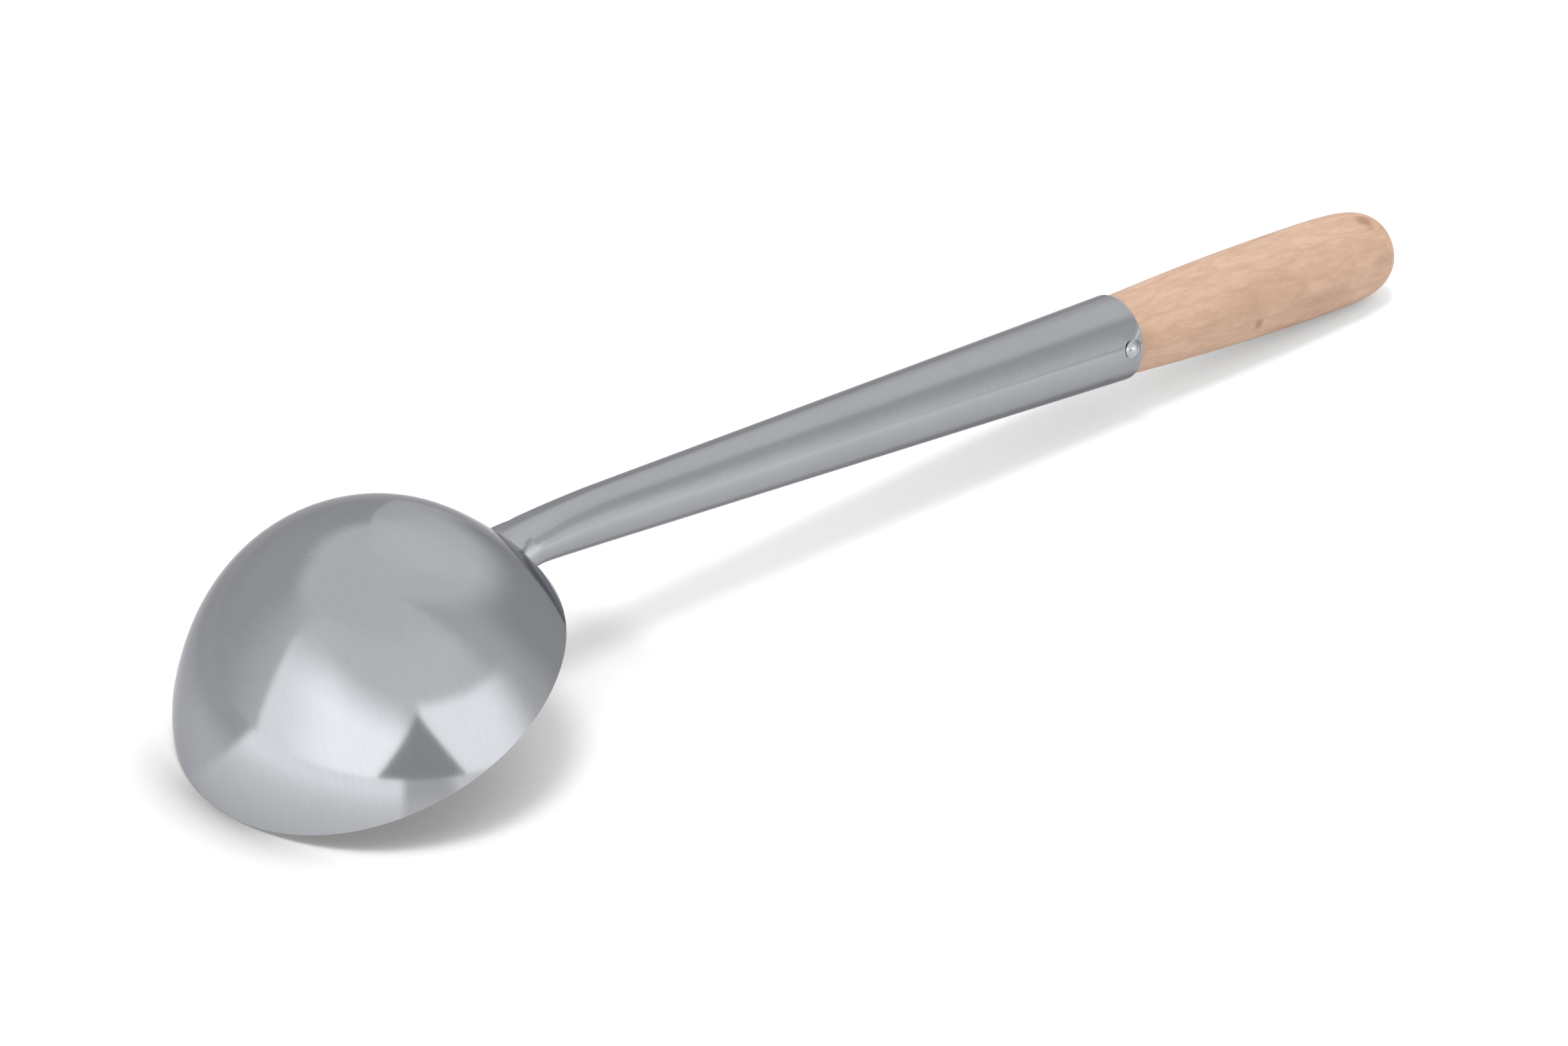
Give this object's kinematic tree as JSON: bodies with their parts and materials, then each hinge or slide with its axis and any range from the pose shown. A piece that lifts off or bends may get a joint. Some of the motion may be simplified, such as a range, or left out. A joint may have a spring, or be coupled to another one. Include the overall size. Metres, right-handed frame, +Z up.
{
  "type": "wok ladle",
  "caption": "Round steel ladle for a wok: a deep bowl and a conical tube rolled from one sheet, with a turned wooden grip nailed in the tube's mouth.",
  "frame": {"origin": "bottom centre of the ladle's box, as it lies on a table with the bowl opening down", "axes": "+Z up, +X along the handle from the bowl to the grip, XZ the plane of symmetry"},
  "size_m": [0.4514, 0.116, 0.071],
  "materials": {
    "steel_sheet": "satin, brushed",
    "pale_wood": "smooth, lightly sealed",
    "nail_steel": "bright"
  },
  "bodies": {
    "root": {"ladle_body": "steel_sheet", "wood_grip": "pale_wood", "grip_nail": "nail_steel"}
  },
  "joints": []
}
